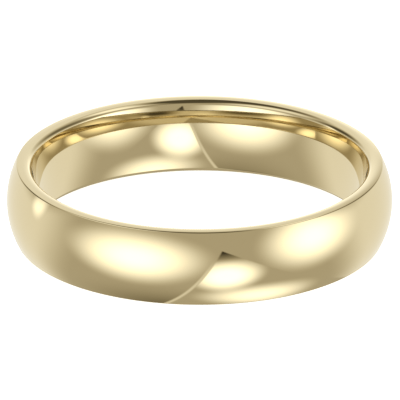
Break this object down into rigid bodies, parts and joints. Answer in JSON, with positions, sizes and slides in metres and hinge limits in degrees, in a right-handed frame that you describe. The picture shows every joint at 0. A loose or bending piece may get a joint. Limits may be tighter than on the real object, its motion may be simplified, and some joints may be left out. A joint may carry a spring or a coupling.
{
  "type": "wedding band",
  "caption": "Plain polished yellow gold wedding band, domed outside and comfort-fit inside, with narrow crowned rims, lying flat.",
  "frame": {"origin": "middle of the lower rim's circle, on the plane the band lies on", "axes": "+Z along the finger, from the lower rim to the upper rim; X and Y are free, because the band is a body of revolution"},
  "size_m": [0.0196, 0.0196, 0.004],
  "materials": {
    "yellow_gold": "mirror-polished 14 karat yellow gold"
  },
  "bodies": {
    "root": {"band": "yellow_gold"}
  },
  "joints": []
}
